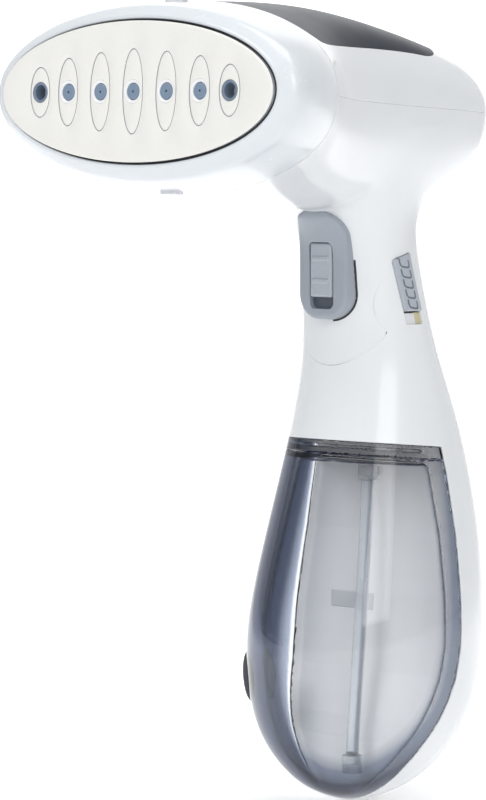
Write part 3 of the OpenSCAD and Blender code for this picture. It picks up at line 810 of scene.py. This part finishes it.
def plate():
    """The oval plate: seven outlined recesses, their bores, and a rounded rim."""
    points, faces, grooves = [], [], []
    count = 0

    def ring(cx, a, b, v, n):
        nonlocal count
        ids, pts = loop(cx, a, b, v, n, count)
        points.append(pts)
        count += n
        return ids

    def band(low, high):
        for k in range(len(low)):
            m = (k + 1) % len(low)
            faces.append([low[k], low[m], high[m], high[k]])

    def flat(outer, holes):
        every = np.concatenate(points)
        loops = [outer] + holes
        flat_ids = [i for l in loops for i in l]
        across, _, up = to_head(every[flat_ids])
        xy = [Vector(spot) for spot in zip(across, up)]
        edges, start = [], 0
        for l in loops:
            edges += [(start + k, start + (k + 1) % len(l)) for k in range(len(l))]
            start += len(l)
        out = delaunay_2d_cdt(xy, edges, [], 1, 1e-6)
        back = [orig[0] for orig in out[3]]
        hole_shapes = [np.array([xy[flat_ids.index(i)] for i in l]) for l in holes]
        for tri in out[2]:
            mid = sum((out[0][i] for i in tri), Vector((0, 0))) / 3
            if any(polygon_distance(np.array(mid[0]), np.array(mid[1]), h) < 0
                   for h in hole_shapes):
                continue
            faces.append([flat_ids[back[i]] for i in tri])

    holes = []
    for cx, tall in zip(NOZZLE_X, RECESS_TALL):
        end = abs(cx) > 40
        n = 64
        rings = [ring(cx, RECESS_HALF + g, tall + g, PLATE_FRONT + d, n)
                 for g, d in ((0.32, 0), (0.2, 0.05), (0.08, 0.5), (-0.08, 0.5), (-0.2, 0.14),
                              (-0.32, 0.1))]
        for k, (low, high) in enumerate(zip(rings, rings[1:])):
            if 0 < k < 4:
                grooves.extend(range(len(faces), len(faces) + n))
            band(low, high)
        holes.append(rings[0])
        bore = 3.7 if end else 4.15
        floor_ring = ring(cx, bore, bore, PLATE_FRONT + 0.1, 48)
        flat(rings[-1], [floor_ring])
        lower = ring(cx, bore - 0.1, bore - 0.1, PLATE_FRONT + 5, 48)
        band(floor_ring, lower)
        flat(lower, [])
    n = 200
    outer = [ring(0, PLATE_A + g, PLATE_B + g, PLATE_FRONT + d, n)
             for g, d in ((-0.7, 0), (-0.4, 0.06), (-0.12, 0.25), (0, 0.55))]
    flat(outer[0], holes)
    for low, high in zip(outer[1:], outer):
        band(low, high)
    side_from = len(faces)
    last = ring(0, PLATE_A, PLATE_B, PLATE_BACK, n)
    band(last, outer[-1])
    flat(last, [])
    return np.concatenate(points), faces, side_from, set(grooves)


plate_points, plate_faces, side_from, grooves = plate()
piece = add("steam_plate_face", plate_points, plate_faces, cream, slot="plate_coating", sharp=40)
piece.data.materials.append(plate_side)
piece.data.materials.append(plate_groove_shade)
# index 2 gives the groove bands their grey painted shade
piece.data.polygons.foreach_set(
    "material_index", [1 if i >= side_from else 2 if i in grooves else 0
                       for i in range(len(plate_faces))])
made["steam_plate"] = piece


def ellipse_ring(profile, a, b, count=200):
    """A band round an ellipse: profile is (outward, along) pairs, closed."""
    t = np.linspace(0, 2 * np.pi, count, endpoint=False)
    rows = [from_head((a + o) * np.cos(t), v, (b + o) * np.sin(t)) for o, v in profile]
    return np.concatenate(rows), ring_faces(len(rows), count)


made["plate_gasket"] = add(
    "plate_lip_seal", *ellipse_ring([(0.05, PLATE_BACK), (0.05, -123.0), (0.15, -123.3),
                                     (0.5, -123.3), (0.6, -123.0), (0.6, PLATE_BACK)],
                                    PLATE_A, PLATE_B), gasket_and_gap_shadow_mat, slot="dark_rubber")

FACE_OUT = unit(from_head(0, -1, 0) - from_head(0, 0, 0))
INSERT_PROFILE = [(0.0, -1.6), (0.42, -1.6), (0.42, 0.28), (2.75, 0.28), (2.9, -4), (0, -4)]
COLLAR_PROFILE = [(2.95, -3.5), (2.95, 0.02), (4.1, 0.34), (4.14, -3.5)]
SOCKET_PROFILE = [(0, -8), (2.5, -8), (2.5, 0.1), (2.8, 0.5), (3.45, 0.5), (3.68, 0.1),
                  (3.68, -9.2), (0, -9.2)]


def nozzle_row(profile, r):
    return joined([spun(profile, r, from_head(x, PLATE_FRONT + 0.3, 0), FACE_OUT)
                   for x in NOZZLE_X[1:6]])


made["nozzle_inserts"] = add("nozzle_discs", *nozzle_row(INSERT_PROFILE, 0.3), insert_mat,
                             slot="blue_grey_insert")
add("nozzle_collars", *nozzle_row(COLLAR_PROFILE, 0.22), collar_white, slot="plate_coating")
for x, name in ((NOZZLE_X[0], "left"), (NOZZLE_X[6], "right")):
    made["accessory_socket_" + name] = add(
        "socket_" + name,
        *spun(SOCKET_PROFILE, 0.2, from_head(x, PLATE_FRONT + 0.4, 0), FACE_OUT),
        socket_mat, slot="blue_grey_insert")


# ---- solids made from fields ----

def box_field(p, center, half, r):
    q = np.abs(p - np.array(center)) - (np.array(half) - r)
    return (np.linalg.norm(np.maximum(q, 0), axis=-1) + np.minimum(q.max(-1), 0)) - r


def solid(name, field, low, high, step, material, **kw):
    """A piece from a field, sampled between two corners of a box."""
    points, tris = skin_of(field, low, high, step)
    return add_skin(name, points, tris, material, field, **kw)


def switch_outline(p):
    x, z = p[..., 0], p[..., 2]
    qx, qz = np.abs(x) - 2, np.abs(z - 25) - 10.5
    return np.hypot(np.maximum(qx, 0), np.maximum(qz, 0)) + np.minimum(np.maximum(qx, qz), 0) - 9.5


def slot_outline(p):
    z_mid = SLOT_Z + SLOT_HEIGHT / 2
    return box_field(np.stack([p[..., 0], np.zeros_like(p[..., 0]), p[..., 2]], -1),
                     (0, 0, z_mid), (5.6, 30, SLOT_HEIGHT / 2), 2.2)


def switch_panel_field(p):
    crown = PANEL_FACE + 0.006 * p[..., 0] ** 2
    front = smooth_min(crown - p[..., 1], body_field(p) - 2.3, 2.0)
    field = smooth_max(front, switch_outline(p), 2.4)
    field = smooth_max(field, -31 - p[..., 1], 2)
    field = np.maximum(field, -body_field(p) - 0.6)
    return smooth_max(field, -slot_outline(p), 0.5)


made["switch_panel"] = solid("switch_bezel", switch_panel_field, (-13, -46, 3), (13, -13, 47),
                             0.42, grey, slot="grey_plastic")


def panel_shadow_strip_field(p):
    """A dark strip along the lower right edge of the switch panel: painted shadow in the gap
    between panel and shell.
    """
    line = np.abs(switch_outline(p) - 0.3) - 0.38
    reach = np.maximum(2 - p[..., 0], p[..., 2] - 27)
    field = np.maximum(np.maximum(body_field(p) - 0.12, -body_field(p) - 0.9), line)
    return np.maximum(np.maximum(field, p[..., 1] + 10), reach)


# painted shadow: a dark strip where the panel's lower right edge meets the shell
solid("panel_shadow_strip", panel_shadow_strip_field, (1, -26, 3), (14, -9, 29), 0.3, gasket_and_gap_shadow_mat,
      slot="dark_rubber")

button_z = SLOT_Z + 0.2 + SWITCH_TRAVEL + (SLOT_HEIGHT - 0.4 - SWITCH_TRAVEL) / 2
button_half = (SLOT_HEIGHT - 0.4 - SWITCH_TRAVEL) / 2


def button_field(p):
    field = box_field(p, (0, PANEL_FACE + 1.0, button_z), (5.1, 1.3, button_half), 0.9)
    for dz in (-4.1, 4.1):
        rib = box_field(p, (0, PANEL_FACE - 0.3, button_z + dz), (4.1, 0.6, 0.95), 0.55)
        field = smooth_min(field, rib, 0.3)
    return field


made["switch_button"] = solid("thumb_button", button_field, (-6.2, -28, 12), (6.2, -21, 34.4),
                              0.3, grey_light, body="steam_switch", slot="grey_plastic")


def slot_floor_field(p):
    return box_field(p, (0, PANEL_FACE + 2.9, SLOT_Z + 12), (6.0, 0.35, 13), 0.2)


# the slot floor is coloured dark: painted shade in the slot
solid("slot_floor", slot_floor_field, (-7, -25, 7), (7, -21, 36), 0.35, slot_shade_dark,
      slot="grey_plastic")


def slider_grooves(p):
    """Five U shapes down the slider, below 0 inside their lines."""
    across = p[..., 1] + 5.5 + (p[..., 2] - 18) * 0.25
    found = np.full(np.shape(across), 50.0)
    for i in range(5):
        up = p[..., 2] - (25.3 - 3.75 * i) + 0.15 * across
        cup = np.abs(np.hypot(np.maximum(np.abs(across) - 0.9, 0), np.minimum(up, 0)) - 1.1)
        legs = np.abs(np.abs(across) - 2.0)
        line = np.maximum(np.where(up < 0, cup, legs) - 0.3, up - 1.8)
        found = np.minimum(found, line)
    return found


def slider_field(p):
    flat = polygon_distance(p[..., 1], p[..., 2], SLIDER)
    field = smooth_max(body_field(p) - 0.9, flat + 0.05, 1.2)
    field = smooth_max(field, -np.maximum(slider_grooves(p), -body_field(p) - 0.1), 0.2)
    return np.maximum(field, -body_field(p) - 0.6)


# painted shade: a dark fill inside the slider's groove lines
def slider_groove_shade_field(p):
    return np.maximum(np.abs(body_field(p) - 0.42) - 0.4, slider_grooves(p) - 0.12)


made["release_slider"] = solid("release_thumb_slider", slider_field, (17, -14, 6), (28, 4, 31),
                               0.3, grey_light, body="release", slot="grey_plastic")
solid("slider_lines", slider_groove_shade_field, (17, -14, 6), (28, 4, 31), 0.22, slider_groove_shade,
      body="release", slot="grey_plastic")


def strip_under(top, bottom, corners):
    """A strip between two depths under the skin, inside an outline seen from the side."""
    def field(p):
        inside = polygon_distance(p[..., 1], p[..., 2], np.array(corners))
        return np.maximum(np.maximum(body_field(p) + top, -body_field(p) - bottom), inside)
    return field


track = strip_under(1.3, 2.2, [(-7.4, 7.4), (1.9, 7.4), (2.9, 3.0), (-6.2, 3.0)])
strip = strip_under(1.1, 1.8, [(-1.6, 7.6), (2.2, 7.6), (2.9, 3.2), (-0.7, 3.2)])
solid("slider_track", track, (20, -9, 1.5), (27, 5, 8.6), 0.35, white, slot="white_shell")
made["slider_strip"] = solid("track_strip", strip, (20, -4, 1.5), (27, 5, 8.6), 0.3, amber,
                             slot="amber_strip")


CATCH_PLACE = -104.5


def catch(name, side, height):
    """A brush catch on top of the bezel (side 1) or under it (side -1)."""
    def field(p):
        x, v, w = to_head(p)
        q = np.stack([x, v - CATCH_PLACE, w * side - height], -1)
        block = box_field(q, (0, 0, 0), (4.1, 1.7, 1.6), 0.5)
        foot = box_field(q, (0, 1.6, -0.6), (3.4, 2.2, 0.7), 0.4)
        return smooth_min(block, foot, 0.4)

    middle = from_head(0, CATCH_PLACE, side * height)
    return solid(name, field, middle - 6, middle + 6, 0.3, clear_white, slot="clear_white")


made["brush_catches"] = catch("brush_catch_top", 1, 31.8)
catch("brush_catch_bottom", -1, 33.2)


# ---- water tank ----

TOP_DROP = LID_DEPTH + 0.15    # how far the vessel ends under the bay's roof


def tank_outer(p):
    wall = smooth_max(body_field(p), spine_side(p) + 0.3, 1.4)
    return smooth_max(wall, lid_plane(p) + TOP_DROP, 0.6)


def tank_inner(p):
    wall = smooth_max(body_field(p) + TANK_WALL, spine_side(p) + 0.3 + BACK_WALL, 6)
    return smooth_max(wall, lid_plane(p) + TOP_DROP + 1.4, 3)


def lid_outer(p):
    wall = smooth_max(body_field(p), spine_side(p) + 0.3, 1.4)
    return smooth_max(wall, np.abs(lid_plane(p) + 0.25 + LID_DEPTH / 2 - 0.05)
                      - (LID_DEPTH / 2 - 0.15), 0.5)


def lid_inner(p):
    wall = smooth_max(body_field(p) + TANK_WALL, spine_side(p) + 0.3 + BACK_WALL, 8)
    return smooth_max(wall, np.abs(lid_plane(p) + 2.7) - 1.0, 0.8)


def hollow(name, outer, inner, low, high, step, **kw):
    """A clear vessel: the skin of one field with the skin of another as its cavity."""
    po, to = skin_of(outer, low, high, step)
    pi, ti = skin_of(inner, low, high, step)
    points = np.concatenate([po, pi])
    tris = np.concatenate([to, ti[:, ::-1] + len(po)])
    normals = np.concatenate([unit(gradient(outer, po, 0.02))[to],
                              -unit(gradient(inner, pi, 0.02))[ti[:, ::-1]]])
    piece = add(name, points, tris.tolist(), smoke, normals, **kw)
    piece.visible_shadow = False    # clear plastic lets the lamps reach what it holds
    return piece


made["water_tank"] = hollow("tank_vessel", tank_outer, tank_inner, (-45, -50, -177),
                            (45, 9, -42), 1.2, body="tank", slot="smoke_clear")
made["tank_lid"] = hollow("tank_cap", lid_outer, lid_inner, (-36, -36, -47), (36, 8, -34), 0.8,
                          body="tank", slot="smoke_clear")


def tube(points, radius, sides=20, dense=6):
    """A smooth round rod through points, with closed ends."""
    curve = spline([tuple(q) for q in points], False, dense)
    tangent = unit(np.gradient(curve, axis=0))
    side = unit(np.cross(tangent, [0.0, 1.0, 0.3]))
    up = np.cross(tangent, side)
    angle = np.linspace(0, 2 * np.pi, sides, endpoint=False)
    rings = (curve[:, None] + radius * (np.cos(angle)[None, :, None] * side[:, None]
                                        + np.sin(angle)[None, :, None] * up[:, None]))
    pts = np.concatenate([rings.reshape(-1, 3), curve[:1], curve[-1:]])
    n = len(curve)
    faces = ring_faces(n, sides, closed=False)
    for k in range(sides):
        m = (k + 1) % sides
        faces.append([n * sides, m, k])
        faces.append([n * sides + 1, (n - 1) * sides + k, (n - 1) * sides + m])
    return pts, faces


siphon = [(2, -1.6, -55.4), (1.6, -2.6, -78), (1.7, -5, -104), (3.2, -9.4, -130),
          (8, -17.5, -153.5)]
made["siphon_tube"] = add("siphon_hose", *tube(siphon, 2.3), milky, body="tank",
                          slot="clear_white")
pts, fcs = lathe(rounded([(0, -0.2), (2.9, -0.2), (3.5, 0.4), (3.5, 6.6), (2.7, 7.2), (0, 7.2)],
                         0.4))
spigot = spun([(0, 0), (2.5, 0), (2.5, 11.5), (2.1, 13), (0, 13)], 0.4, OUTLET, (0, 1, 0))
made["tank_outlet"] = add("outlet_elbow", *joined([(pts + OUTLET - [0, 0, 3.4], fcs), spigot]),
                          milky, body="tank", slot="clear_white")


# ---- filling plug and lead gland ----

tilt = math.pi / 2 + PLUG_SINK
plug_axis = np.array([math.sin(tilt) * math.cos(PLUG_TURN),
                      math.sin(tilt) * math.sin(PLUG_TURN), math.cos(tilt)])
PLUG_PROFILE = [(0, -1.8), (9.8, -1.6), (9.95, 0.1), (9.2, 0.75), (6.2, 0.8), (5.6, 0.3),
                (2.0, 0.35), (1.4, 0.9), (0, 0.95)]
STEM_PROFILE = [(0, -5.8), (6.6, -5.8), (6.9, -1.9), (0, -1.9)]
GLAND_PROFILE = [(3.5, -9), (3.5, 1.6), (4.2, 2.35), (7.4, 2.2), (8, 1.4), (7.9, 0.6),
                 (6.0, 0.3), (6.0, -9)]
made["fill_plug"] = add("fill_stopper", *spun(PLUG_PROFILE, 0.4, PLUG_AT, plug_axis),
                        rubber_grey, body="plug", slot="plug_rubber")
add("stopper_stem", *spun(STEM_PROFILE, 0.4, PLUG_AT, plug_axis), milky, body="plug",
    slot="clear_white")
made["cord_gland"] = add("lead_gland", *spun(GLAND_PROFILE, 0.35, GLAND, GLAND_AXIS),
                         dark_plastic, slot="dark_plastic")


# ---- walls of the bay that the tank slides into ----

def bay_field(p):
    # it just meets the tank, so that the clear wall shows it and doesn't mirror
    wall = np.maximum(body_field(p) + WALL, -tank_side(p) - 0.45)
    return smooth_max(wall, tank_side(p) - 2.2, 0.3)


solid("tank_bay_wall", bay_field, (-42, -36, -172), (42, 12, -34), 1.3, bay_glow_white,
      slot="white_shell")


# a plain raised level mark on the bay wall, read through the tank
def mark_field(p):
    long_bar = box_field(p, (-9.5, 4.4, -101.5), (10.5, 0.6, 3.2), 0.4)
    post = box_field(p, (-3.5, 4.4, -99.5), (0.9, 0.7, 5.6), 0.4)
    return smooth_min(long_bar, post, 0.4)


solid("level_mark", mark_field, (-22, 3, -110), (3, 6, -92), 0.4, mark_grey, slot="grey_plastic")

for node, piece in made.items():
    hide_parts(node)

# ---- the pieces inside keep the frame's shape ----

INSIDE = {
    "boiler_body": cast, "boiler_cover": cast, "boiler_gasket": silicone,
    "heating_element": heater, "steam_manifold": dark_plastic, "thermostat": dark_plastic,
    "thermal_fuse": brass, "boiler_bracket": steel, "boiler_screws": brass,
    "switch_slide": dark_plastic, "micro_switch": dark_plastic, "inner_frame": grey,
    "latch_arm": dark_plastic, "latch_spring": steel, "siphon_filter": milky,
    "tank_socket": dark_plastic, "socket_seal": gasket_and_gap_shadow_mat, "inlet_hose": milky,
    "outlet_hose": milky, "pump_barrel": milky, "pump_coil": copper, "pump_frame": steel,
    "pump_piston": steel, "circuit_board": board, "board_parts": dark_plastic,
    # the terminal block shares the bay's glowing white, so it carries painted light too
    "terminal_block": bay_glow_white, "mains_wires": wire, "cord_clamp": dark_plastic,
    "case_screws": steel,
}
for node, finish in INSIDE.items():
    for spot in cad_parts[node].material_slots:
        spot.material = finish


# ---- camera, floor and light ----

scene = bpy.context.scene
# the camera's turn about the object, distance, height, turn off the middle and tilt
azimuth, away, eye, yaw, down = math.radians(40), 1348, 71.5, math.radians(1.95), 4.13
camera = bpy.data.objects.new("photo_camera", bpy.data.cameras.new("photo_camera"))
camera.location = np.array([away * math.sin(azimuth), -away * math.cos(azimuth), eye]) * MM
camera.rotation_euler = (math.radians(90 - down), 0, azimuth + yaw)
camera.data.sensor_fit = "VERTICAL"
camera.data.sensor_height = 24
camera.data.lens = 109.35
camera.data.clip_start = 0.05
scene.collection.objects.link(camera)
scene.camera = camera


def stage_mesh(name, points, faces, finish):
    mesh = bpy.data.meshes.new(name)
    mesh.from_pydata(points, [], faces)
    mesh.polygons.foreach_set("use_smooth", np.ones(len(mesh.polygons), bool))
    piece = bpy.data.objects.new(name, mesh)
    scene.collection.objects.link(piece)
    mesh.materials.append(finish)
    return piece


FLOOR_Z = cad_low[2] - 0.0005
# metres: the sweep's half width and height, how far back it bends, and the bend's radius
SPAN, BEND_AT, BEND = 3.2, 1.4, 0.9
profile = [(-SPAN, 0)] + [(BEND_AT + BEND * math.sin(t), BEND - BEND * math.cos(t))
                          for t in np.linspace(0, math.pi / 2, 16)] + [(BEND_AT + BEND, SPAN)]
c, s = math.cos(azimuth), math.sin(azimuth)
floor_points = [(-out * s + side * c, out * c + side * s, FLOOR_Z + up)
                for out, up in profile for side in (-SPAN, SPAN)]
floor_faces = [[2 * r, 2 * r + 1, 2 * r + 3, 2 * r + 2] for r in range(len(profile) - 1)]
stage_mesh("floor_sweep", floor_points, floor_faces, floor_white)


def lamp(name, place, size, power):
    data = bpy.data.lights.new(name, "AREA")
    data.shape = "RECTANGLE"
    data.size, data.size_y = size
    data.energy = power
    piece = bpy.data.objects.new(name, data)
    piece.location = place
    aim = Vector((0, 0, -0.02)) - Vector(place)
    piece.rotation_euler = aim.to_track_quat("-Z", "Y").to_euler()
    scene.collection.objects.link(piece)


lamp("key_left", (-0.7, -1.7, 1.5), (1.2, 1.2), 15)
lamp("fill_right", (1.7, -1.1, 0.9), (1.0, 1.4), 11)
lamp("overhead", (0.2, 0.2, 1.9), (1.4, 1.4), 12)
world = bpy.data.worlds.new("studio")
world.use_nodes = True
scene.world = world


def along(tree, place, direction):
    """How far a point, or a direction of the world, lies along a direction."""
    dot = new_node(tree, "VectorMath", {"operation": "DOT_PRODUCT"})
    dot.inputs[1].default_value = direction
    tree.links.new(new_node(tree, "TexCoord").outputs[place], dot.inputs[0])
    return dot.outputs["Value"]


def eased_range(tree, source, reach, near, far):
    """A value that goes from near to far as the source crosses its reach."""
    fall = new_node(tree, "MapRange", {"interpolation_type": "SMOOTHSTEP"}, Value=source,
                 From_Min=reach[0], From_Max=reach[1], To_Min=near, To_Max=far)
    return fall.outputs["Result"]


def math_node(tree, operation, *sources):
    node = new_node(tree, "Math", {"operation": operation})
    for source, socket in zip(sources, node.inputs):
        tree.links.new(source, socket)
    return node.outputs["Value"]


def aside(tree, place, reach, near, far):
    """A value that changes with the distance to the camera's left or right."""
    across = along(tree, place, (math.cos(azimuth), math.sin(azimuth), 0))
    return eased_range(tree, math_node(tree, "ABSOLUTE", across), reach, near, far)


# the backdrop glows behind the object only, and the room is dim to both sides
floor_tree = floor_white.node_tree
depth = along(floor_tree, "Object", (-math.sin(azimuth), math.cos(azimuth), 0))
behind_it = eased_range(floor_tree, depth, (-0.15, 0.3), 0.22, 1)
sides = aside(floor_tree, "Object", (0.45, 1.0), 0.66, 0.0)
feed(floor_tree, shader_of(floor_white),
     Emission_Strength=math_node(floor_tree, "MULTIPLY", sides, behind_it))
world_tree = world.node_tree
feed(world_tree, world_tree.nodes["Background"], Color=(0.97, 0.985, 1, 1),
     Strength=aside(world_tree, "Generated", (0.40, 0.90), 0.62, 0.30))
scene.view_settings.view_transform = "Standard"
